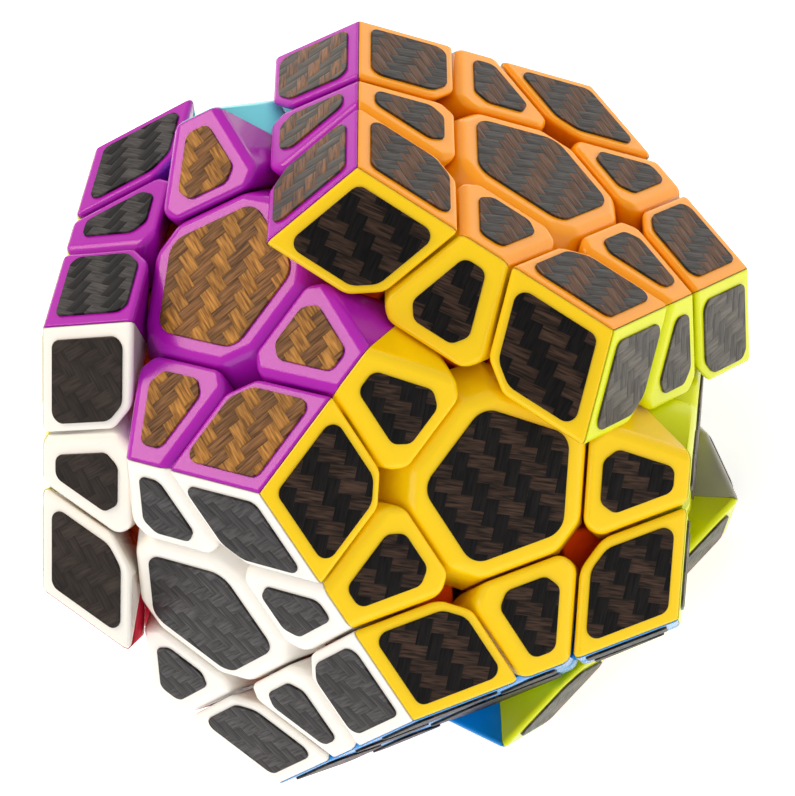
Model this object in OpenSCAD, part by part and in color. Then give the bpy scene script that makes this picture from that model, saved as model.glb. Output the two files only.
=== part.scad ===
// Dodecahedron twisty puzzle: twelve turning layers around a twelve-armed core.
// Outside a ball the pieces are parted by flat cuts. Inside it their feet are parted by cones
// around the face axes, so that each foot hooks under its neighbours and still turns past them.
// The puzzle stands on its pink face, with z = 0 at that face's stickers.

/* [Puzzle] */
// Distance between two opposite faces of the plastic
across_faces = 70; // [69:0.5:71]
// Depth of one turning layer, from its face down to the cut
layer_depth = 11; // [10.8:0.1:11.2]
// Gap between neighbouring pieces
piece_gap = 0.3; // [0.2:0.05:0.35]

/* [Turned layers] */
// Turn of the orange layer, anticlockwise as seen from outside
orange_turn = -28; // [-36:1:36]
// Turn of the lemon layer, anticlockwise as seen from outside
lemon_turn = 25; // [-36:1:36]
// Turn of the pink layer, anticlockwise as seen from outside
pink_turn = 44; // [36:1:72]

/* [Facelets] */
// Length cut off the inner corner of a corner piece's facelet
corner_trim = 1.5; // [1:0.1:1.8]
// Length cut off the two inner corners of an edge piece's facelet
edge_trim = 1.9; // [1.5:0.1:2.2]
// Length cut off each corner of a centre's facelet
centre_trim = 1.5; // [1:0.1:1.8]
// Thickness of the stickers
sticker_t = 0.25; // [0.2:0.05:0.3]
// Plastic left showing around a sticker
sticker_inset = 1.5; // [1.2:0.1:1.8]

/* [Mechanism] */
// Radius of the ball that divides the outer blocks from the feet
ball_r = 33; // [32.8:0.1:33.2]
// Inner radius of the feet
foot_r = 27.5; // [27:0.5:28]
// Half angle of the cones that part the feet
cone_angle = 49; // [48.5:0.1:49.5]
// Radius of the peg that joins a foot to its colour shells
peg_r = 3.2; // [3:0.1:3.4]
// Radius of the screw shanks
shank_r = 1.5; // [1.4:0.05:1.6]
// Clearance of a centre's bore around its screw shank
shank_play = 0.05; // [0.02:0.01:0.08]
// Radius of the spring wire
wire_r = 0.4; // [0.3:0.05:0.45]
// Coils in each spring
spring_turns = 4; // [3:1:5]

/* [Hidden] */
HALF = across_faces / 2;
CUT = HALF - layer_depth;
GLUE = 0.02;                       // film between parts that are glued or clipped together
OVERLAP = 0.5;                     // between two shapes that make up one piece
REACH = 60;                        // longer than any piece
SLACK = asin(piece_gap / 2 / foot_r);      // half of the gap between feet, as an angle
CHORD_ANGLE = cone_angle - 2.4;            // keeps a foot's corners inside its cones
TILT = atan(1 / 2);                        // slope of the upper ring of face axes
CENTRE_H = HALF + GLUE + sticker_t;        // puzzle centre above the resting face
RIM = HALF * tan(45 - TILT / 2);           // from a face's centre to its edges
SEAM = (CUT - HALF * sin(TILT)) / cos(TILT);  // from a face's centre to its cuts
SEAM_TIP = SEAM / cos(36);                 // from a face's centre to where two cuts cross

// Heights along a face axis, from the puzzle's centre outward
CORE_R = 8;
ARM_TOP = 14;
BASE_LOW = ARM_TOP + piece_gap;
BASE_FLOOR = BASE_LOW + 1.7;
PLUG_LOW = 29.5;
SCREW_TIP = 6.5;
TIP_ROOM = 0.5;                    // hole left under a screw's tip
WASHER_LOW = 24.4;
HEAD_LOW = 25;
HEAD_TOP = 27;
CORNER_PEG_TOP = 39;
EDGE_PEG_TOP = 37;

// Radii around a face axis
ARM_R = 3.6;
BASE_R = 6.2;
CAP_PLAY = 0.15;                   // between a base and the cap that its plug closes
BASE_TOP = sqrt(pow(ball_r + piece_gap / 2, 2) - BASE_R * BASE_R) - CAP_PLAY;
PLUG_R = 4.2;
HEAD_R = 2.9;
WASHER_R = 3.1;
WASHER_PLAY = 0.1;                 // around the screw shank
COIL_R = 2.5;
WIRE_PLAY = 0.06;                  // keeps a spring's ends off its seats
DRIVE = [3.2, 0.7, 1];             // length, width and depth of each slot of a screw head's cross

// Face axes: one up, five around it, then the opposite six in the same order
AZIMUTHS = [-18, -90, -162, 126, 54];
UPPER = concat([[0, 0, 1]], [for (a = AZIMUTHS) [cos(TILT) * cos(a), cos(TILT) * sin(a), sin(TILT)]]);
AXES = concat(UPPER, -UPPER);
NAMES = ["purple", "orange", "yellow", "white", "lemon", "sky",
         "pink", "red", "green", "grey", "lime", "blue"];
SHADES = ["#b43ad0", "#ff962a", "#ffd21a", "#f8f3ea", "#eeec84", "#6cd8f6",
          "#f860ac", "#d4203e", "#137c3e", "#b2b0a6", "#c4e818", "#0c7ccc"];
STICKER_SHADE = "#26262a";
FOOT_SHADE = "#e8400e";
FACES = [0:11];
TURNED = [1, 4, 6];
TURNS = [orange_turn, lemon_turn, pink_turn];

function touching(i, j) = i != j && AXES[i] * AXES[j] > 0.4;
CORNERS = [for (i = FACES, j = FACES, k = FACES)
    if (i < j && j < k && touching(i, j) && touching(j, k) && touching(i, k)) [i, j, k]];
EDGES = [for (i = FACES, j = FACES) if (i < j && touching(i, j)) [i, j]];
FIXED_CENTRES = [for (i = FACES) if (len(search(i, TURNED)) == 0) i];

function piece_name(kind, f) =
    len(f) == 3 ? str(kind, "_", NAMES[f[0]], "_", NAMES[f[1]], "_", NAMES[f[2]])
                : str(kind, "_", NAMES[f[0]], "_", NAMES[f[1]]);

// Vector helpers
function unit(v) = v / norm(v);
function sum(f, n = 0) = n == len(f) - 1 ? AXES[f[n]] : AXES[f[n]] + sum(f, n + 1);
function sides_of(f) = [for (k = FACES) if (touching(k, f[0]) && touching(k, f[1])) k];
function others(f, i) = [for (k = f) if (k != i) k];
function neighbours(i) = [for (k = FACES) if (touching(k, i)) k];
function neighbour_pairs(i) =
    [for (j = neighbours(i), k = neighbours(i)) if (j < k && touching(j, k)) [j, k]];
function first_anticlockwise(i, pair) =
    cross(AXES[pair[0]], AXES[pair[1]]) * AXES[i] > 0 ? pair[0] : pair[1];
function aligned(i, k) = let (z = AXES[i], x = unit(AXES[k] - (AXES[k] * z) * z), y = cross(z, x))
    [[x[0], y[0], z[0], 0], [x[1], y[1], z[1], 0], [x[2], y[2], z[2], 0], [0, 0, 0, 1]];

// Puts a piece in its place, turned with its layer if that layer is turned
module placed(f) {
    layer = [for (t = [0:2]) if (len(search(TURNED[t], f)) > 0) t];
    translate([0, 0, CENTRE_H])
        if (len(layer) > 0) rotate(a = TURNS[layer[0]], v = AXES[TURNED[layer[0]]]) children();
        else children();
}

// Stands its children on a direction from the puzzle's centre
module along(v) rotate([0, acos(v[2] / norm(v)), atan2(v[1], v[0])]) children();
module on_axes(list) translate([0, 0, CENTRE_H]) for (i = list) along(AXES[i]) children();
module rod(low, high, r) translate([0, 0, low]) cylinder(h = high - low, r = r, $fn = 32);

// The space between two planes across a direction
module slab(v, low, high) along(v) translate([-REACH, -REACH, low]) cube([2 * REACH, 2 * REACH, high - low]);
module ball(r) sphere(r, $fn = 96);

// Blocks outside the ball, cut by planes
module corner_block(f) difference() {
    intersection() {
        intersection_for (i = f) slab(AXES[i], CUT + piece_gap / 2, HALF);
        intersection_for (i = f) {
            ridge = sum(others(f, i));
            slab(ridge, 2 * CUT / norm(ridge) + corner_trim * norm(ridge) / 2, REACH);
        }
    }
    ball(ball_r + piece_gap / 2);
}
module edge_block(f) difference() {
    intersection() {
        intersection_for (i = f) slab(AXES[i], CUT + piece_gap / 2, HALF);
        intersection_for (k = sides_of(f)) slab(AXES[k], -REACH, CUT - piece_gap / 2);
        intersection_for (i = f, k = sides_of(f)) slab(AXES[i] - AXES[k], edge_trim, REACH);
    }
    ball(ball_r + piece_gap / 2);
}
module centre_block(i) difference() {
    intersection() {
        slab(AXES[i], CUT, HALF);
        intersection_for (k = neighbours(i)) slab(AXES[k], -REACH, CUT - piece_gap / 2);
        intersection_for (pair = neighbour_pairs(i)) {
            ridge = sum(pair);
            slab(ridge, -REACH, 2 * CUT / norm(ridge) - centre_trim * norm(ridge) / 2);
        }
    }
    ball(ball_r + piece_gap / 2);
}

// The inward normal of a plane through the puzzle's centre, against the cone around face i's axis
function cone_wall(i, v, angle) = let (away = unit(v - (v * AXES[i]) * AXES[i]))
    sin(angle) * AXES[i] - cos(angle) * away;

// A foot inside the ball, with a peg up into the colour shells. Its walls are flat: those towards
// its own faces are chords inside their cones, and the others are tangents outside them.
module foot(f, outside, peg_top) color(FOOT_SHADE) {
    difference() {
        intersection() {
            ball(ball_r - piece_gap / 2);
            intersection_for (i = f) slab(cone_wall(i, sum(f), CHORD_ANGLE), 0, REACH);
        }
        ball(foot_r);
        for (k = outside) slab(cone_wall(k, sum(f), cone_angle + SLACK), 0, REACH);
    }
    along(sum(f)) rod(ball_r - piece_gap / 2 - OVERLAP, peg_top, peg_r);
}

// One colour's share of a block, split from the others half way between the faces
module shell(f, i, peg_top) color(SHADES[i]) difference() {
    intersection() {
        children();
        intersection_for (k = others(f, i)) slab(AXES[i] - AXES[k], GLUE / 2, REACH);
    }
    along(sum(f)) rod(0, peg_top + GLUE, peg_r + GLUE);
}

// Outlines on a face: each line is [direction, distance], listed anticlockwise
function corner_lines() =
    [[0, RIM], [72, RIM], [180, -SEAM], [216, -SEAM_TIP - corner_trim], [252, -SEAM]];
function edge_lines() =
    [[0, RIM], [72, SEAM], [126, -edge_trim], [180, -SEAM], [234, -edge_trim], [288, SEAM]];
function centre_lines() =
    [for (n = [0:9]) [36 * n, n % 2 == 0 ? SEAM : SEAM_TIP - centre_trim]];
function crossing(p, q) = [p[1] * sin(q[0]) - q[1] * sin(p[0]), q[1] * cos(p[0]) - p[1] * cos(q[0])]
    / sin(q[0] - p[0]);
function inset(lines) = [for (p = lines) [p[0], p[1] - sticker_inset]];
function outline(lines) = [for (n = [0:len(lines) - 1]) crossing(lines[n], lines[(n + 1) % len(lines)])];

// A sticker on face i, whose outline starts from the direction of face k
module sticker(i, k, lines) color(STICKER_SHADE) multmatrix(aligned(i, k))
    translate([0, 0, HALF + GLUE]) linear_extrude(sticker_t) polygon(outline(inset(lines)));

// Moving pieces
module corner(f) placed(f) {
    foot(f, [], CORNER_PEG_TOP);
    for (i = f) {
        shell(f, i, CORNER_PEG_TOP) corner_block(f);
        sticker(i, first_anticlockwise(i, others(f, i)), corner_lines());
    }
}
module edge(f) placed(f) {
    foot(f, sides_of(f), EDGE_PEG_TOP);
    for (i = f) {
        shell(f, i, EDGE_PEG_TOP) edge_block(f);
        sticker(i, others(f, i)[0], edge_lines());
    }
}

// Centres: a base that turns on its screw, and a cap whose plug closes it
module centre_base(i) placed([i]) color(FOOT_SHADE) along(AXES[i]) difference() {
    rod(BASE_LOW, BASE_TOP, BASE_R);
    rod(0, REACH, shank_r + shank_play);
    rod(BASE_FLOOR, REACH, PLUG_R);
}
module centre_cap(i) placed([i]) {
    color(SHADES[i]) union() {
        centre_block(i);
        along(AXES[i]) rod(PLUG_LOW, HALF - OVERLAP, PLUG_R - GLUE);
    }
    sticker(i, neighbours(i)[0], centre_lines());
}
module centre_bases() for (i = FIXED_CENTRES) centre_base(i);
module centre_caps() for (i = FIXED_CENTRES) centre_cap(i);
module turned_centre(i) {
    centre_base(i);
    centre_cap(i);
}

// The fixed middle
module core() color("#2b2b2e") difference() {
    union() {
        translate([0, 0, CENTRE_H]) ball(CORE_R);
        on_axes(FACES) rod(0, ARM_TOP, ARM_R);
    }
    on_axes(FACES) rod(SCREW_TIP - TIP_ROOM, REACH, shank_r + GLUE);
}
module axis_screws() color("silver") on_axes(FACES) {
    rod(SCREW_TIP, HEAD_LOW + OVERLAP, shank_r);
    difference() {
        rod(HEAD_LOW, HEAD_TOP, HEAD_R);
        for (turn = [0, 90])
            rotate(turn) translate([0, 0, HEAD_TOP]) cube([DRIVE[0], DRIVE[1], 2 * DRIVE[2]], center = true);
    }
}
module washers() color("silver") on_axes(FACES) difference() {
    rod(WASHER_LOW, HEAD_LOW - GLUE, WASHER_R);
    rod(0, REACH, shank_r + WASHER_PLAY);
}

// A spring is a round wire, drawn with five sides and swept along a helix
WIRE_SIDES = 5;
RINGS_PER_TURN = 8;
RINGS = RINGS_PER_TURN * spring_turns;
SPRING_LOW = BASE_FLOOR + wire_r + WIRE_PLAY;
SPRING_RISE = WASHER_LOW - wire_r - WIRE_PLAY - SPRING_LOW;
function ring_point(n, s) = let (a = 360 * n / RINGS_PER_TURN, b = 360 * s / WIRE_SIDES,
    reach = COIL_R + wire_r * cos(b))
    [reach * cos(a), reach * sin(a), SPRING_LOW + SPRING_RISE * n / RINGS + wire_r * sin(b)];
function on_ring(n, s) = WIRE_SIDES * n + s % WIRE_SIDES;
SIDES = [0:WIRE_SIDES - 1];
module spring() polyhedron(
    points = [for (n = [0:RINGS], s = SIDES) ring_point(n, s)],
    faces = concat([[for (s = SIDES) WIRE_SIDES - 1 - s]], [[for (s = SIDES) on_ring(RINGS, s)]],
        [for (n = [0:RINGS - 1], s = SIDES) [on_ring(n, s), on_ring(n, s + 1), on_ring(n + 1, s)]],
        [for (n = [0:RINGS - 1], s = SIDES) [on_ring(n, s + 1), on_ring(n + 1, s + 1), on_ring(n + 1, s)]]));
module springs() color("gainsboro") on_axes(FACES) spring();

core();
axis_screws();
springs();
washers();
centre_bases();
centre_caps();
for (i = TURNED) turned_centre(i);
for (f = EDGES) edge(f);
for (f = CORNERS) corner(f);
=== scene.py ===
import math

import bmesh
import bpy
from mathutils import Matrix, Vector


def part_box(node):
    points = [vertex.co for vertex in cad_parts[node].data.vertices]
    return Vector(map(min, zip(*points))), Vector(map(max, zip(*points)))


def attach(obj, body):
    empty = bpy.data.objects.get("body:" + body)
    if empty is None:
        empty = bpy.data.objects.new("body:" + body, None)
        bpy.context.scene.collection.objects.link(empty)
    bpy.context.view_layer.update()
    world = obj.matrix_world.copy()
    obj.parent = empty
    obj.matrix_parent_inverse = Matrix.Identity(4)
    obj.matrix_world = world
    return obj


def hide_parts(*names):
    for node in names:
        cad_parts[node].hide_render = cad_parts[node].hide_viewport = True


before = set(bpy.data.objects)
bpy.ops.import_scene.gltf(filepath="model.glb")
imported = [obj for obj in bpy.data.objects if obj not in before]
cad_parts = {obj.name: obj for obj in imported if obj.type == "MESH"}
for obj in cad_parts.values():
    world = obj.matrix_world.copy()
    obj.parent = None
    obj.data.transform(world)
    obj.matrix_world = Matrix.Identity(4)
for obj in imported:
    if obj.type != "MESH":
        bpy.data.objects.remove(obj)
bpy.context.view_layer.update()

mm = 0.001
scene = bpy.context.scene

# The puzzle: twelve faces around a ball, each with five corners, five edges and a centre.
puzzle = {
    "acrossFaces": 70 * mm,      # between two opposite faces of the plastic
    "layerDepth": 11 * mm,       # of one turning layer
    "pieceGap": 0.3 * mm,        # between neighbouring pieces
    "ballRadius": 33 * mm,       # parts the outer blocks from the feet
    "footRadius": 27.5 * mm,     # inner radius of the feet
    "footAngle": 46.6,           # from a face axis to a foot's wall, in degrees
    "footClearAngle": 49.3,      # from a face axis to the feet outside its layer
    "pegRadius": 3.2 * mm,       # joins a foot to its colour shells
    "pegPlay": 0.02 * mm,        # of its bore, all round and at its end
    "seam": 0.03 * mm,           # half the joint between two colours of one piece
    "turns": {"orange": -28, "lemon": 25, "pink": 44},   # degrees, anticlockwise from outside
}
faceNames = ["purple", "orange", "yellow", "white", "lemon", "sky",
             "pink", "red", "green", "grey", "lime", "blue"]
half = puzzle["acrossFaces"] / 2
cut = half - puzzle["layerDepth"]
gap = puzzle["pieceGap"] / 2
tilt = math.atan(0.5)                                       # slope of the upper ring of axes
rimLine = half * math.tan(math.pi / 4 - tilt / 2)           # face centre to face edge
cutLine = (cut - half * math.sin(tilt)) / math.cos(tilt)    # face centre to a cut
cutTip = cutLine / math.cos(math.radians(36))               # face centre to where cuts cross


def ringAxis(degrees):
    a = math.radians(degrees)
    return Vector((math.cos(tilt) * math.cos(a), math.cos(tilt) * math.sin(a), math.sin(tilt)))


upperAxes = [Vector((0, 0, 1))] + [ringAxis(a) for a in (-18, -90, -162, 126, 54)]
faceAxes = upperAxes + [-v for v in upperAxes]
coreLow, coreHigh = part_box("core")
middle = (coreLow + coreHigh) / 2                           # the puzzle's centre


def touching(i, j):
    # neighbouring axes are 63 degrees apart and all others more than 116
    return i != j and faceAxes[i].dot(faceAxes[j]) > 0.4


def faceTurn(i):
    # turns the face-up frame so that z is face i's axis and x leans to its first neighbour
    z = faceAxes[i]
    first = [k for k in range(12) if touching(i, k)][0]
    x = (faceAxes[first] - faceAxes[first].dot(z) * z).normalized()
    return Matrix((x, z.cross(x), z)).transposed().to_4x4()


def facesAround(i):
    # the five neighbours of face i, anticlockwise from the first
    back = faceTurn(i).inverted()
    flat = {k: back @ faceAxes[k] for k in range(12) if touching(i, k)}
    return sorted(flat, key=lambda k: round(math.degrees(math.atan2(flat[k].y, flat[k].x))) % 360)


def spin(n):
    return Matrix.Rotation(math.radians(72 * n), 4, "Z")


# A face seen from above: its own axis, and its neighbours' at 0, 72, 144, 216 and 288 degrees.
ownAxis = Vector((0, 0, 1))
around = [ringAxis(72 * n) for n in range(5)]


def layerOf(faces):
    turned = [faceNames[f] for f in faces if faceNames[f] in puzzle["turns"]]
    return turned[0] if turned else None


def place(faces):
    # where a piece that touches these faces lies: at the puzzle's centre, turned with its layer
    layer = layerOf(faces)
    if layer is None:
        return Matrix.Translation(middle)
    axis = faceAxes[faceNames.index(layer)]
    return Matrix.Translation(middle) @ Matrix.Rotation(math.radians(puzzle["turns"][layer]), 4, axis)


def bodyOf(faces):
    layer = layerOf(faces)
    return layer + "_layer" if layer else "body"


def pieceName(faces):
    kind = {1: "centre", 2: "edge", 3: "corner"}[len(faces)]
    return "_".join([kind] + [faceNames[f] for f in sorted(faces)])


# Mesh tools
weld = 1e-7          # metres between points that count as one
roundSides = 48      # of pegs, bores and turned parts


def toMesh(bm, name):
    mesh = bpy.data.meshes.new(name)
    bmesh.ops.recalc_face_normals(bm, faces=bm.faces)
    bm.to_mesh(mesh)
    bm.free()
    return mesh


def addRod(bm, axis, radius, low, high, sides=roundSides):
    # closed cylinder along an axis, between these distances from the centre
    turn = axis.to_track_quat("Z", "Y").to_matrix().to_4x4()
    bmesh.ops.create_cone(bm, cap_ends=True, segments=sides, radius1=radius, radius2=radius, depth=high - low,
                          matrix=turn @ Matrix.Translation((0, 0, (low + high) / 2)))


def applied(mesh, modifiers):
    # a new mesh with the modifiers applied in turn
    holder = bpy.data.objects.new("holder", mesh)
    scene.collection.objects.link(holder)
    for kind, settings in modifiers:
        modifier = holder.modifiers.new(kind, kind)
        for key, value in settings.items():
            setattr(modifier, key, value)
    bpy.context.view_layer.update()
    finished = holder.evaluated_get(bpy.context.evaluated_depsgraph_get())
    result = bpy.data.meshes.new_from_object(finished)
    bpy.data.objects.remove(holder)
    return result


def combined(mesh, operation, helpers):
    # exact booleans with helper objects, which are then thrown away
    result = applied(mesh, [("BOOLEAN", {"operation": operation, "object": helper, "solver": "EXACT"})
                            for helper in helpers])
    for helper in helpers:
        bpy.data.objects.remove(helper)
    return result


def cutOff(bm, normal, distance):
    # removes what lies past a plane and closes the cut
    everything = bm.verts[:] + bm.edges[:] + bm.faces[:]
    made = bmesh.ops.bisect_plane(bm, geom=everything, plane_co=normal * distance, plane_no=normal,
                                  clear_outer=True, dist=weld)
    bmesh.ops.edgeloop_fill(bm, edges=[e for e in made["geom_cut"] if isinstance(e, bmesh.types.BMEdge)])


def cutBlock(planes):
    # what is left of a big cube behind every plane (normal, distance from the centre)
    bm = bmesh.new()
    bmesh.ops.create_cube(bm, size=4 * half)
    for normal, distance in planes:
        cutOff(bm, normal.normalized(), distance)
    bmesh.ops.remove_doubles(bm, verts=bm.verts, dist=weld)
    bmesh.ops.recalc_face_normals(bm, faces=bm.faces)
    return bm


def sameWay(a, b):
    return a.dot(b) > 0.999


def facesOf(edge, axes):
    # how many of an edge's two faces lie across one of these axes
    return sum(any(sameWay(f.normal, a) for a in axes) for f in edge.link_faces)


def helperObject(name, build):
    bm = bmesh.new()
    build(bm)
    helper = bpy.data.objects.new(name, toMesh(bm, name))
    scene.collection.objects.link(helper)
    return helper


rounding = {
    "cornerTrim": 1.5 * mm,    # cut off the corner of a facelet that faces a junction
    "edgeTrim": 1.9 * mm,
    "centreTrim": 1.5 * mm,
    "rim": 0.9 * mm,           # where a face meets a cut
    "rimSteps": 4,
    "leastBend": 0.1,          # radians; faces that meet at less have no edge to round
    "sliver": 0.003 * mm,      # edges this short are welded
    "standing": 1,             # edges down a piece's sides, as a share of the rim
    "ridge": 0.55,             # where two faces meet, as a share of the rim
}


def roundBlock(name, planes, tops, axis, pegTop):
    # a block of one piece: hollowed by the ball and bored for its peg, then its moulded edges rounded
    helpers = [helperObject("ball", lambda bm: bmesh.ops.create_uvsphere(
        bm, u_segments=2 * roundSides, v_segments=roundSides, radius=puzzle["ballRadius"] + gap))]
    if pegTop:
        helpers.append(helperObject("peg", lambda bm: addRod(
            bm, axis, puzzle["pegRadius"] + puzzle["pegPlay"], 0, pegTop + puzzle["pegPlay"])))
    hollow = combined(toMesh(cutBlock(planes), name), "DIFFERENCE", helpers)
    sides = [n.normalized() for n, distance in planes]
    walls = [n for n in sides if not any(sameWay(n, t) for t in tops + [-axis])]
    bm = bmesh.new()
    bm.from_mesh(hollow)
    weights = bm.edges.layers.float.new("bevel_weight_edge")
    for e in bm.edges:
        flat = len(e.link_faces) == 2 and e.calc_face_angle() > rounding["leastBend"]
        if flat and facesOf(e, tops) == 2:
            e[weights] = rounding["ridge"]
        elif flat and facesOf(e, tops) == 1:
            e[weights] = 1
        elif flat and facesOf(e, walls) == 2:
            e[weights] = rounding["standing"]
    return applied(toMesh(bm, name), [("BEVEL", {
        "limit_method": "WEIGHT", "width": rounding["rim"], "segments": rounding["rimSteps"],
        "use_clamp_overlap": False})])


def ownShare(mesh, name, neighbours):
    # the part of a block nearest to the upward face, as one colour's shell
    bm = bmesh.new()
    bm.from_mesh(mesh)
    for axis in neighbours:
        cutOff(bm, (axis - ownAxis).normalized(), -puzzle["seam"])
    return softened(toMesh(bm, name))


def softened(mesh):
    # welds the bevel's smallest slivers, and smooths over the roundings while the large faces stay flat
    bm = bmesh.new()
    bm.from_mesh(mesh)
    bmesh.ops.remove_doubles(bm, verts=bm.verts, dist=rounding["sliver"])
    bm.to_mesh(mesh)
    bm.free()
    mesh.polygons.foreach_set("use_smooth", [True] * len(mesh.polygons))
    return applied(mesh, [("WEIGHTED_NORMAL", {"mode": "FACE_AREA", "weight": 100})])


def blockPlanes(tops, beyond, within, axis, bottom):
    planes = [(a, half) for a in tops] + [(-a, -(cut + gap)) for a in beyond]
    return planes + [(a, cut - gap) for a in within] + [(-axis, -bottom)]


def junctionPlane(p, q, sign, trim):
    # across the line where two cuts meet, this far from it on the face
    ridge = p + q
    distance = 2 * (cut + sign * gap) / ridge.length + sign * trim * ridge.length / 2
    return (-sign * ridge, -sign * distance)


# distances from the centre, along a piece's own axis
pegTops = {"corner": 39 * mm, "edge": 37 * mm}
blockBottoms = {"corner": 32.4 * mm, "edge": 30.5 * mm, "centre": 30.4 * mm}


def shellMeshes():
    tops = [ownAxis, around[0], around[1]]
    axis = sum(tops, Vector()).normalized()
    planes = blockPlanes(tops, tops, [], axis, blockBottoms["corner"])
    planes += [junctionPlane(tops[n - 1], tops[n], 1, rounding["cornerTrim"]) for n in range(3)]
    block = roundBlock("cornerBlock", planes, tops, axis, pegTops["corner"])
    corner = ownShare(block, "cornerShell", around[:2])
    tops = [ownAxis, around[0]]
    axis = sum(tops, Vector()).normalized()
    sides = [around[1], around[4]]
    planes = blockPlanes(tops, tops, sides, axis, blockBottoms["edge"])
    planes += [(side - top, -rounding["edgeTrim"]) for top in tops for side in sides]
    edge = ownShare(roundBlock("edgeBlock", planes, tops, axis, pegTops["edge"]), "edgeShell", around[:1])
    planes = blockPlanes([ownAxis], [], around, ownAxis, blockBottoms["centre"])
    planes += [junctionPlane(around[n - 1], around[n], -1, rounding["centreTrim"]) for n in range(5)]
    centre = ownShare(roundBlock("centreBlock", planes, [ownAxis], ownAxis, None), "centreShell", [])
    return {"corner": corner, "edge": edge, "centre": centre}


print("stage: colour shells")
shells = shellMeshes()


# Stickers: outlines on a face as lines [direction, distance, radius of the corner that follows]
sticker = {
    "insets": {"corner": 1.5 * mm, "edge": 2.0 * mm, "centre": 2.1 * mm},   # plastic left around
    "thickness": 0.25 * mm,
    "lift": 0.02 * mm,         # its glue
    "bevel": 0.06 * mm,
    "smallRadius": 1.2 * mm,
    "largeRadius": 2.4 * mm,
    "cornerTrim": 1.4 * mm,    # cut off the corners that face a junction
    "edgeTrim": 2.8 * mm,
    "arcSteps": 8,
}


def stickerLines(kind):
    small, large = sticker["smallRadius"], sticker["largeRadius"]
    if kind == "corner":
        return [(0, rimLine, small), (72, rimLine, small), (180, -cutLine, large),
                (216, -cutTip - sticker["cornerTrim"], large), (252, -cutLine, small)]
    if kind == "edge":
        trim = sticker["edgeTrim"]
        return [(0, rimLine, small), (72, cutLine, small), (126, -trim, small),
                (180, -cutLine, small), (234, -trim, small), (288, cutLine, small)]
    return [(72 * n, cutLine, large) for n in range(5)]


def crossing(p, q):
    a, b = math.radians(p[0]), math.radians(q[0])
    return Vector((p[1] * math.sin(b) - q[1] * math.sin(a),
                   q[1] * math.cos(a) - p[1] * math.cos(b))) / math.sin(b - a)


def roundedOutline(lines, inset, shrink=0):
    # the corner between two lines becomes an arc, or as much of one as its short side leaves room for
    lines = [(d, distance - inset, radius) for d, distance, radius in lines]
    count = len(lines)
    tips = [crossing(lines[n], lines[(n + 1) % count]) for n in range(count)]
    points = []
    for n in range(count):
        p, q = lines[n], lines[(n + 1) % count]
        bend = math.radians((q[0] - p[0]) % 360)
        room = 0.49 * min((tips[n] - tips[n - 1]).length, (tips[(n + 1) % count] - tips[n]).length)
        radius = min(p[2], room / math.tan(bend / 2))
        start = math.radians(p[0])
        inward = Vector((math.cos(start + bend / 2), math.sin(start + bend / 2)))
        heart = tips[n] - inward * radius / math.cos(bend / 2)
        for step in range(sticker["arcSteps"] + 1):
            a = start + bend * step / sticker["arcSteps"]
            points.append(heart + Vector((math.cos(a), math.sin(a))) * (radius - shrink))
    return points


def stickerMesh(kind, n):
    # thin plate with a softened upper edge, in its face's frame so that the weave runs on across a face
    low = half + sticker["lift"]
    high = low + sticker["thickness"]
    lines = stickerLines(kind)
    levels = [(low, 0), (high - sticker["bevel"], 0), (high, sticker["bevel"])]
    bm = bmesh.new()
    rings = []
    for z, shrink in levels:
        outline = roundedOutline(lines, sticker["insets"][kind], shrink)
        rings.append([bm.verts.new(spin(n) @ Vector((p.x, p.y, z))) for p in outline])
    for lower, higher in zip(rings, rings[1:]):
        for k in range(len(lower)):
            m = (k + 1) % len(lower)
            bm.faces.new((lower[k], lower[m], higher[m], higher[k]))
    bm.faces.new(rings[0])
    bm.faces.new(rings[-1])
    return toMesh(bm, kind + "Sticker")


print("stage: stickers")
stickers = {(kind, n): stickerMesh(kind, n) for kind in ("corner", "edge") for n in range(5)}
stickers["centre", 0] = stickerMesh("centre", 0)


# The mechanism: feet under the corners and edges, bases under the centres, springs on the screws
mechanism = {
    "footEdge": 0.4 * mm,          # rounding of a foot's edges
    "footEdgeSteps": 3,
    "footSharp": 40,               # degrees; faces that meet at less have no edge to round
    "footCuts": 5,                 # in each edge of its roof, before it is curved
    "pegRoot": 2 * mm,             # how far a peg reaches inside the ball
    "plugRadius": 4.18 * mm,       # of a cap's plug, which closes its base
    "plugLow": 29.5 * mm,
    "plugTop": half - 1 * mm,      # inside the cap's own plastic
    "plugSides": 64,
    "baseRadius": 6.2 * mm,
    "baseBore": 4.2 * mm,
    "baseLow": 14.3 * mm,
    "baseFloor": 16 * mm,
    "baseTop": 32.4 * mm,
    "baseEdge": 0.3 * mm,
    "shankBore": 1.55 * mm,
    "coilRadius": 2.5 * mm,
    "wireRadius": 0.4 * mm,
    "wireSides": 10,
    "coilTurns": 4,
    "coilSteps": 20,               # in each turn
    "coilLow": 16.46 * mm,
    "coilHigh": 23.94 * mm,
}


def coneWall(axis, towards, degrees):
    # inward normal of a plane through the centre, this far from a face axis
    a = math.radians(degrees)
    away = (towards - towards.dot(axis) * axis).normalized()
    return math.sin(a) * axis - math.cos(a) * away


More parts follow.
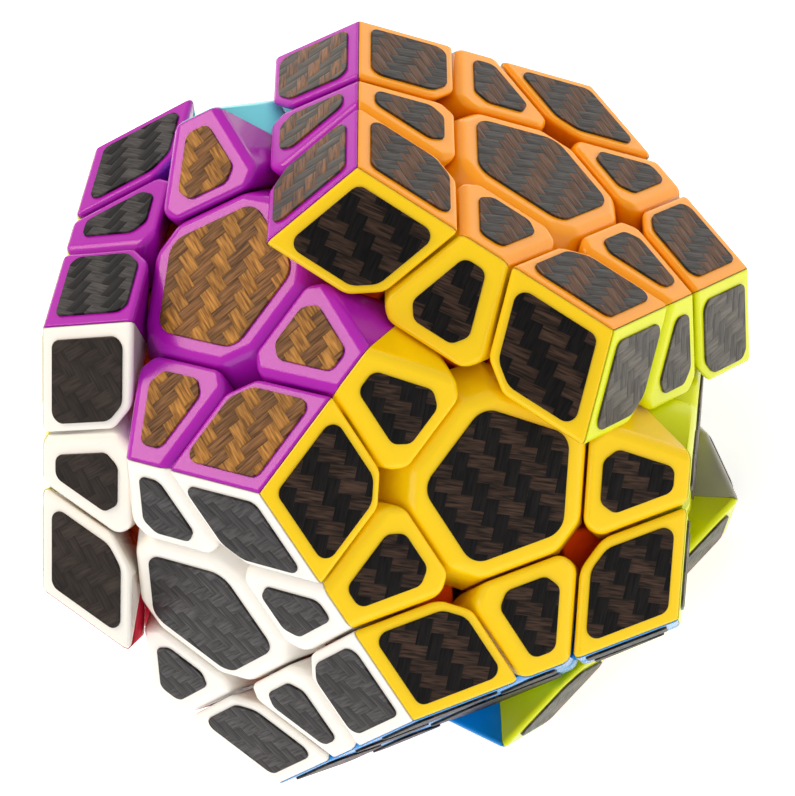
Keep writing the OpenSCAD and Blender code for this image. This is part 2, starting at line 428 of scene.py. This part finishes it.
def footMesh(kind):
    inside, clear = puzzle["footAngle"], puzzle["footClearAngle"]
    tops = [ownAxis, around[0], around[1]] if kind == "corner" else [ownAxis, around[0]]
    axis = sum(tops, Vector()).normalized()
    if kind == "corner":
        walls = [coneWall(a, axis, inside) for a in tops]
    else:
        walls = [coneWall(ownAxis, axis, inside), -coneWall(around[1], axis, clear),
                 coneWall(around[0], axis, inside), -coneWall(around[4], axis, clear)]
    tips = [walls[n].cross(walls[(n + 1) % len(walls)]).normalized() for n in range(len(walls))]
    tips = [t if t.dot(axis) > 0 else -t for t in tips]
    bm = bmesh.new()
    roof = bm.faces.new([bm.verts.new(t) for t in tips])
    bmesh.ops.poke(bm, faces=[roof])
    bmesh.ops.subdivide_edges(bm, edges=bm.edges[:], cuts=mechanism["footCuts"], use_grid_fill=True)
    shellFaces = bm.faces[:]
    border = [e for e in bm.edges if e.is_boundary]
    copy = bmesh.ops.duplicate(bm, geom=bm.verts[:] + bm.edges[:] + bm.faces[:])["vert_map"]
    outer = set(v for f in shellFaces for v in f.verts)
    for v in bm.verts:
        v.co = v.co.normalized() * (puzzle["ballRadius"] - gap if v in outer else puzzle["footRadius"])
    for e in border:
        a, b = e.verts
        bm.faces.new((a, b, copy[b], copy[a]))
    bmesh.ops.recalc_face_normals(bm, faces=bm.faces)
    bend = math.radians(mechanism["footSharp"])
    sharp = [e for e in bm.edges if len(e.link_faces) == 2 and e.calc_face_angle() > bend]
    bmesh.ops.bevel(bm, geom=sharp, offset=mechanism["footEdge"], segments=mechanism["footEdgeSteps"],
                    affect="EDGES", profile=0.5)
    peg = helperObject("peg", lambda bm: addRod(
        bm, axis, puzzle["pegRadius"], puzzle["ballRadius"] - mechanism["pegRoot"], pegTops[kind]))
    return combined(toMesh(bm, kind + "Foot"), "UNION", [peg])


def lathe(name, profile, steps=roundSides):
    # a closed outline of (radius, height) turned around z
    bm = bmesh.new()
    turns = [2 * math.pi * k / steps for k in range(steps)]
    rings = [[bm.verts.new((r * math.cos(a), r * math.sin(a), z)) for a in turns] for r, z in profile]
    for n, ring in enumerate(rings):
        after = rings[(n + 1) % len(rings)]
        for k in range(steps):
            m = (k + 1) % steps
            bm.faces.new((ring[k], ring[m], after[m], after[k]))
    return toMesh(bm, name)


def capMesh():
    # a centre's shell with the plug that closes its base
    m = mechanism
    plug = helperObject("plug", lambda bm: addRod(
        bm, ownAxis, m["plugRadius"], m["plugLow"], m["plugTop"], m["plugSides"]))
    return softened(combined(shells["centre"], "UNION", [plug]))


def baseMesh():
    m, soft = mechanism, mechanism["baseEdge"]
    return lathe("base", [
        (m["shankBore"], m["baseLow"]), (m["baseRadius"] - soft, m["baseLow"]),
        (m["baseRadius"], m["baseLow"] + soft), (m["baseRadius"], m["baseTop"] - soft),
        (m["baseRadius"] - soft, m["baseTop"]), (m["baseBore"], m["baseTop"]),
        (m["baseBore"], m["baseFloor"]), (m["shankBore"], m["baseFloor"])])


def springsMesh():
    # twelve coils, one on each axis screw
    bm = bmesh.new()
    m, sides = mechanism, mechanism["wireSides"]
    count = m["coilSteps"] * m["coilTurns"]
    for i in range(12):
        rings = []
        for n in range(count + 1):
            a = 2 * math.pi * n / m["coilSteps"]
            z = m["coilLow"] + (m["coilHigh"] - m["coilLow"]) * n / count
            ring = []
            for s in range(sides):
                b = 2 * math.pi * s / sides
                r = m["coilRadius"] + m["wireRadius"] * math.cos(b)
                point = Vector((r * math.cos(a), r * math.sin(a), z + m["wireRadius"] * math.sin(b)))
                ring.append(bm.verts.new(faceTurn(i) @ point))
            rings.append(ring)
        for lower, higher in zip(rings, rings[1:]):
            for s in range(sides):
                t = (s + 1) % sides
                bm.faces.new((lower[s], lower[t], higher[t], higher[s]))
        bm.faces.new(rings[0])
        bm.faces.new(rings[-1])
    return toMesh(bm, "springs")


print("stage: mechanism")
feet = {"corner": footMesh("corner"), "edge": footMesh("edge")}
shells["centre"] = capMesh()
base = baseMesh()


# Materials
def linear(text):
    # sRGB hex to linear RGBA
    parts = [int(text[n:n + 2], 16) / 255 for n in (1, 3, 5)]
    return [c / 12.92 if c <= 0.04045 else ((c + 0.055) / 1.055) ** 2.4 for c in parts] + [1]


def addNode(tree, kind, inputs, **settings):
    # a node with its settings, and each input either set or linked, to a node's first output or a named one
    made = tree.nodes.new("ShaderNode" + kind)
    for key, value in settings.items():
        setattr(made, key, value)
    for key, value in inputs.items():
        if isinstance(value, bpy.types.Node):
            value = value.outputs[0]
        if isinstance(value, bpy.types.NodeSocket):
            tree.links.new(value, made.inputs[key])
        else:
            made.inputs[key].default_value = value
    return made


def emptyMaterial(name):
    material = bpy.data.materials.new(name)
    material.use_nodes = True
    material.node_tree.nodes.clear()
    return material, material.node_tree


def finishMaterial(material, shader):
    addNode(material.node_tree, "OutputMaterial", {"Surface": shader.outputs[0]})
    return material


plasticLook = {
    "roughness": (0.16, 0.24),      # polished tool, a little uneven
    "mottle": 0.05,                 # share by which the dye varies
    "mottleSize": 5 * mm,
    "peelSize": 1.4 * mm,           # soft ripple of a moulded surface
    "peelDepth": 0.006 * mm,
    "grainSize": 0.16 * mm,         # finest tool marks
    "grainDepth": 0.0006 * mm,
    "glow": 0.12,                   # light passes a little way into dyed ABS
    "glowDepth": 0.6 * mm,
    "glowSpread": (1, 0.8, 0.7),    # of red, green and blue light, as shares of that depth
    "gloss": 0.26,                  # specular level
    "noiseRange": (0.3, 0.7),       # where most of a noise's values lie
    "colours": {
        "purple": "#ac16b0", "orange": "#ffa20a", "yellow": "#ffd20a", "white": "#f8f3ea",
        "lemon": "#eeec84", "sky": "#86f2ff", "pink": "#f860ac", "red": "#d4203e",
        "green": "#137c3e", "grey": "#b2b0a6", "lime": "#e0e60a", "blue": "#0a8cd6",
    },
    "footColour": "#ff5a18",
    "coreColour": "#2b2b2e",
}


def mouldedPlastic(name, colour, look, glow):
    # injection moulded ABS: even dye, a soft gloss over a faint ripple, and a slight glow in its edges
    material, tree = emptyMaterial(name)
    spot = addNode(tree, "TexCoord", {}).outputs["Object"]
    dye = addNode(tree, "TexNoise", {"Vector": spot, "Scale": 1 / look["mottleSize"], "Detail": 2})
    dark = [c * (1 - look["mottle"]) for c in linear(colour)[:3]] + [1]
    tint = addNode(tree, "Mix", {0: dye.outputs["Fac"], 6: dark, 7: linear(colour)}, data_type="RGBA")
    peel = addNode(tree, "TexNoise", {"Vector": spot, "Scale": 1 / look["peelSize"], "Detail": 1})
    grain = addNode(tree, "TexNoise", {"Vector": spot, "Scale": 1 / look["grainSize"], "Detail": 3})
    (least, most), (low, high) = look["noiseRange"], look["roughness"]
    gloss = addNode(tree, "MapRange", {"Value": grain.outputs["Fac"], "From Min": least, "From Max": most,
                                       "To Min": low, "To Max": high})
    ripple = addNode(tree, "Bump", {"Height": peel.outputs["Fac"], "Distance": look["peelDepth"]})
    marks = addNode(tree, "Bump", {"Height": grain.outputs["Fac"], "Distance": look["grainDepth"],
                                   "Normal": ripple.outputs["Normal"]})
    inputs = {"Base Color": tint.outputs[2], "Roughness": gloss.outputs["Result"], "IOR": 1.54,
              "Specular IOR Level": look["gloss"], "Normal": marks.outputs["Normal"]}
    if glow:
        inputs.update({"Subsurface Weight": look["glow"], "Subsurface Scale": look["glowDepth"],
                       "Subsurface Radius": look["glowSpread"]})
    return finishMaterial(material, addNode(tree, "BsdfPrincipled", inputs))


filmLook = {
    "towWidth": 1.5 * mm,          # one flat bundle of fibres
    "linesPerTow": 8,              # drawn coarser than real fibres, to show
    "lineLength": 2.2 * mm,
    "weaveDepth": 0.05 * mm,
    "lineDepth": 0.012 * mm,
    "flatness": 0.4,               # of a bundle's crown: 1 is a full arch, 0 is flat
    "hollowShade": 0.35,           # painted shade: share of the tone lost where bundles dip
    "roughness": (0.34, 0.5),      # of a bright line, and between lines
    "patchSize": 6 * mm,           # slow change of tone over a sheet
    "patchTones": (0.8, 1.2),
    "noiseRange": (0.32, 0.68),    # the middle of a noise, which is stretched to full contrast
    "litCopies": {
        # bundles along, their bright lines, bundles across, their bright lines, gloss, weave angle
        # every row is the same film with painted light and shade in its tones, for the faces it lies on; the
        # warm bronze tones are a painted reflection of the key lamp
        "bronzeReflection": ("#6e440e", "#b07824", "#482a0c", "#7e501c", 0.16, 0),
        "amber": ("#40342c", "#80501c", "#38332d", "#4a443e", 0.3, 0),
        "black": ("#1a120e", "#46342a", "#060506", "#181514", 0.1, -63),
        "jet": ("#2e2d2d", "#484646", "#0c0b0b", "#191717", 0.12, 20),
        "umber": ("#2b2522", "#3c342f", "#26211e", "#342d29", 0.12, 20),
        "slate": ("#252426", "#403e40", "#171618", "#2e2c2f", 0.14, 35),
        "graphite": ("#432a18", "#644024", "#2b2928", "#3b3937", 0.13, 30),
        "smoke": ("#504a43", "#605a51", "#36312c", "#4e4842", 0.25, 10),
    },
}


def wovenFilm(name, finish, look):
    # embossed vinyl film with a two by two twill: each bundle passes over two and under two,
    # so blocks of fine lines climb in slanting steps between blocks that run the other way
    material, tree = emptyMaterial(name)
    # one of those copies: tones with painted light and shade, its gloss and its weave angle
    along, alongLine, across, acrossLine, gloss, angle = finish
    least, most = look["noiseRange"]
    spot = addNode(tree, "TexCoord", {}).outputs["Object"]
    turned = addNode(tree, "Mapping", {"Vector": spot, "Rotation": (0, 0, -math.radians(angle)),
                                       "Scale": [1 / look["towWidth"]] * 3})
    split = addNode(tree, "SeparateXYZ", {"Vector": turned})
    u, v = split.outputs["X"], split.outputs["Y"]
    column = addNode(tree, "Math", {0: u}, operation="FLOOR")
    row = addNode(tree, "Math", {0: v}, operation="FLOOR")
    climb = addNode(tree, "Math", {0: row, 1: column}, operation="SUBTRACT")
    step = addNode(tree, "Math", {0: climb, 1: 4.0}, operation="FLOORED_MODULO")
    over = addNode(tree, "Math", {0: step, 1: 1.5}, operation="LESS_THAN")
    back = addNode(tree, "Math", {0: 3.0, 1: step}, operation="SUBTRACT")
    inColumn = addNode(tree, "Math", {0: u}, operation="FRACT")
    inRow = addNode(tree, "Math", {0: v}, operation="FRACT")
    few = look["towWidth"] / look["lineLength"]
    ways = {
        # place across the bundle, blocks it has run so far, place in this one, scale of its lines, tones
        "along": (inColumn, step, inRow, (look["linesPerTow"], few, 1), along, alongLine),
        "across": (inRow, back, inColumn, (few, look["linesPerTow"], 1), across, acrossLine),
    }
    heights, lines, tones = {}, {}, {}
    for way, (inTow, passed, inBlock, stretch, dull, bright) in ways.items():
        soFar = addNode(tree, "Math", {0: passed, 1: inBlock}, operation="ADD")
        run = addNode(tree, "Math", {0: soFar, 1: math.pi / 2}, operation="MULTIPLY")
        width = addNode(tree, "Math", {0: inTow, 1: math.pi}, operation="MULTIPLY")
        wave = addNode(tree, "Math", {0: run}, operation="SINE")
        bow = addNode(tree, "Math", {0: wave, 1: 0.001}, operation="MAXIMUM")   # a power needs more than 0
        arch = addNode(tree, "Math", {0: width}, operation="SINE")
        crown = addNode(tree, "Math", {0: arch, 1: look["flatness"]}, operation="POWER")
        rise = addNode(tree, "Math", {0: bow, 1: look["flatness"]}, operation="POWER")
        heights[way] = addNode(tree, "Math", {0: crown, 1: rise}, operation="MULTIPLY")
        drawn = addNode(tree, "Mapping", {"Vector": turned, "Scale": stretch})
        lines[way] = addNode(tree, "TexNoise", {"Vector": drawn, "Scale": 1.0, "Detail": 1,
                                                "Roughness": 0.5}).outputs["Fac"]
        share = addNode(tree, "MapRange", {"Value": lines[way], "From Min": least, "From Max": most})
        tones[way] = addNode(tree, "Mix", {0: share, 6: linear(dull), 7: linear(bright)},
                             data_type="RGBA").outputs[2]
    height = addNode(tree, "Mix", {0: over, 2: heights["across"], 3: heights["along"]}, data_type="FLOAT")
    line = addNode(tree, "Mix", {0: over, 2: lines["across"], 3: lines["along"]}, data_type="FLOAT")
    tone = addNode(tree, "Mix", {0: over, 6: tones["across"], 7: tones["along"]}, data_type="RGBA")
    # painted shade where the bundles dip, then multiplied by the sheet's own slow patches of tone
    paintedDipShade = addNode(tree, "MapRange", {"Value": height, "To Min": 1 - look["hollowShade"], "To Max": 1},
                      clamp=False)
    patches = addNode(tree, "TexNoise", {"Vector": spot, "Scale": 1 / look["patchSize"], "Detail": 2})
    low, high = look["patchTones"]
    patch = addNode(tree, "MapRange", {"Value": patches.outputs["Fac"], "From Min": least, "From Max": most,
                                       "To Min": low, "To Max": high})
    dipShadeAndPatches = addNode(tree, "Math", {0: paintedDipShade, 1: patch}, operation="MULTIPLY")
    colour = addNode(tree, "VectorMath", {0: tone.outputs[2], "Scale": dipShadeAndPatches}, operation="SCALE")
    smooth, rough = look["roughness"]
    dullness = addNode(tree, "MapRange", {"Value": line, "From Min": least, "From Max": most,
                                          "To Min": rough, "To Max": smooth})
    weave = addNode(tree, "Bump", {"Height": height, "Distance": look["weaveDepth"]})
    drawing = addNode(tree, "Bump", {"Height": line, "Distance": look["lineDepth"], "Normal": weave})
    return finishMaterial(material, addNode(tree, "BsdfPrincipled", {
        "Base Color": colour, "Roughness": dullness, "IOR": 1.5, "Specular IOR Level": gloss,
        "Normal": drawing}))


steelLook = {
    "tones": ("#b9babd", "#d9d9dc"),
    "wearSize": 0.4 * mm,
    "roughness": (0.2, 0.4),
}


def platedSteel(name, look):
    # zinc plated steel wire and screws: bright, with faint cloudy wear
    material, tree = emptyMaterial(name)
    spot = addNode(tree, "TexCoord", {}).outputs["Object"]
    wear = addNode(tree, "TexNoise", {"Vector": spot, "Scale": 1 / look["wearSize"], "Detail": 3})
    (dull, bright), (low, high) = look["tones"], look["roughness"]
    tint = addNode(tree, "Mix", {0: wear, 6: linear(dull), 7: linear(bright)}, data_type="RGBA")
    rough = addNode(tree, "MapRange", {"Value": wear, "To Min": low, "To Max": high})
    return finishMaterial(material, addNode(tree, "BsdfPrincipled", {
        "Base Color": tint.outputs[2], "Metallic": 1.0, "Roughness": rough}))


print("stage: materials")
plastics = {name: mouldedPlastic("mouldedAbs_" + name, colour, plasticLook, True)
            for name, colour in plasticLook["colours"].items()}
footPlastic = mouldedPlastic("mouldedNylon_foot", plasticLook["footColour"], plasticLook, True)
corePlastic = mouldedPlastic("mouldedNylon_core", plasticLook["coreColour"], plasticLook, False)
films = {name: wovenFilm("wovenFilm_" + name, finish, filmLook)
         for name, finish in filmLook["litCopies"].items()}
steel = platedSteel("platedSteel", steelLook)


# Painted light and shade: every face's stickers are one film, and each face and turned layer gets a copy
# whose tone is painted for how the light falls on it; the run of the weave differs with the sheet that each
# face's stickers came from
litFilmOfFace = {"orange": "graphite", "white": "slate", "lime": "smoke", "lemon": "jet", "sky": "jet",
              "green": "slate", "red": "slate", "grey": "graphite", "pink": "jet"}


def litFilmOf(face, faces):
    # the purple face's stickers carry a painted bronze reflection, and on a turned layer painted tones for
    # their other lighting; so do the white face's on a turned layer
    if face == "purple":
        return films[{None: "bronzeReflection", "orange": "amber"}.get(layerOf(faces), "jet")]
    if face == "white" and layerOf(faces):
        return films["umber"]
    return films[litFilmOfFace.get(face, "black")]


# Assembly
def addPiece(name, mesh, matrix, faces, node, material):
    piece = bpy.data.objects.new(name, mesh.copy())
    scene.collection.objects.link(piece)
    piece.matrix_world = matrix
    piece.data.materials.clear()
    piece.data.materials.append(material)
    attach(piece, bodyOf(faces))
    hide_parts(node)
    return piece


def addFacelets(i):
    # everything on face i: its centre, and its share of each edge and corner
    ring = facesAround(i)
    spots = [("centre", 0, (i,))]
    spots += [("edge", n, (i, ring[n])) for n in range(5)]
    spots += [("corner", n, (i, ring[n], ring[(n + 1) % 5])) for n in range(5)]
    face = faceNames[i]
    for kind, n, faces in spots:
        whole = pieceName(faces)
        node = whole
        if kind == "centre" and layerOf(faces) is None:
            node = "centre_caps"
        upright = place(faces) @ faceTurn(i)
        addPiece(whole + "_shell_" + face, shells[kind], upright @ spin(n), faces, node,
                 plastics[face])
        addPiece(whole + "_sticker_" + face, stickers[kind, n], upright, faces, node,
                 litFilmOf(face, faces))
        if kind == "centre" and node == whole:
            addPiece(whole + "_base", base, upright, faces, node, footPlastic)
        if kind != "centre" and i == min(faces):
            addPiece(whole + "_foot", feet[kind], upright @ spin(n), faces, node, footPlastic)


print("stage: assembly")
for i in range(12):
    addFacelets(i)
addPiece("axis_springs", springsMesh(), Matrix.Translation(middle), (), "springs", steel)
for node, material in (("core", corePlastic), ("centre_bases", footPlastic),
                       ("axis_screws", steel), ("washers", steel)):
    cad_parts[node].data.materials.clear()
    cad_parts[node].data.materials.append(material)


# Studio
studio = {
    "floorSize": 4.0,
    "floorDrop": 0.05 * mm,        # below the face that the puzzle stands on
    "floorColour": "#fbfbfb",
    "floorRoughness": 0.9,
    "floorGlow": 0.6,
    "skyStrength": 0.72,
    "lamps": {
        # azimuth, elevation, distance from the centre, size, power in watts, colour
        "key": (88, 51, 0.55, 0.3, 1.7, "#ffe3c4"),
        "fill": (-150, 35, 0.7, 0.5, 1.0, "#ffffff"),
    },
}


def towards(azimuth, elevation):
    a, e = math.radians(azimuth), math.radians(elevation)
    return Vector((math.cos(e) * math.cos(a), math.cos(e) * math.sin(a), math.sin(e)))


def addArea(name, azimuth, elevation, distance, size, power, colour):
    lamp = bpy.data.lights.new(name, "AREA")
    lamp.shape = "DISK"
    lamp.size = size
    lamp.energy = power
    lamp.color = linear(colour)[:3]
    holder = bpy.data.objects.new(name, lamp)
    holder.location = middle + towards(azimuth, elevation) * distance
    holder.rotation_euler = towards(azimuth, elevation).to_track_quat("Z", "Y").to_euler()
    scene.collection.objects.link(holder)


def addFloor():
    bm = bmesh.new()
    bmesh.ops.create_grid(bm, x_segments=1, y_segments=1, size=studio["floorSize"] / 2)
    floor = bpy.data.objects.new("floor", toMesh(bm, "floor"))
    floor.location.z = -studio["floorDrop"]
    scene.collection.objects.link(floor)
    material, tree = emptyMaterial("paintedCard")
    floor.data.materials.append(finishMaterial(material, addNode(tree, "BsdfPrincipled", {
        "Base Color": linear(studio["floorColour"]), "Roughness": studio["floorRoughness"],
        "Emission Color": linear("#ffffff"), "Emission Strength": studio["floorGlow"]})))


view = {
    "azimuth": -92.34, "elevation": 51.16, "roll": -51.46,   # degrees
    "distance": 420 * mm,
    "lens": 168.4,
    "aim": Vector((1.6, -0.35, -0.2)) * mm,                  # from the puzzle's centre
}


def addCamera():
    out = towards(view["azimuth"], view["elevation"])
    level = (-out).cross(Vector((0, 0, 1))).normalized()
    raised = level.cross(-out)
    roll = math.radians(view["roll"])
    right = math.cos(roll) * level + math.sin(roll) * raised
    camera = bpy.data.objects.new("camera", bpy.data.cameras.new("camera"))
    camera.data.lens = view["lens"]
    camera.data.clip_start = 0.01
    turn = Matrix((right, out.cross(right), out)).transposed().to_4x4()
    camera.matrix_world = Matrix.Translation(middle + view["aim"] + out * view["distance"]) @ turn
    scene.collection.objects.link(camera)
    scene.camera = camera


print("stage: studio")
addFloor()
for name, lamp in studio["lamps"].items():
    addArea(name, *lamp)
world = bpy.data.worlds.new("studio")
scene.world = world
world.use_nodes = True
world.node_tree.nodes["Background"].inputs["Strength"].default_value = studio["skyStrength"]
world.node_tree.nodes["Background"].inputs["Color"].default_value = (1, 1, 1, 1)
scene.view_settings.view_transform = "Standard"
addCamera()
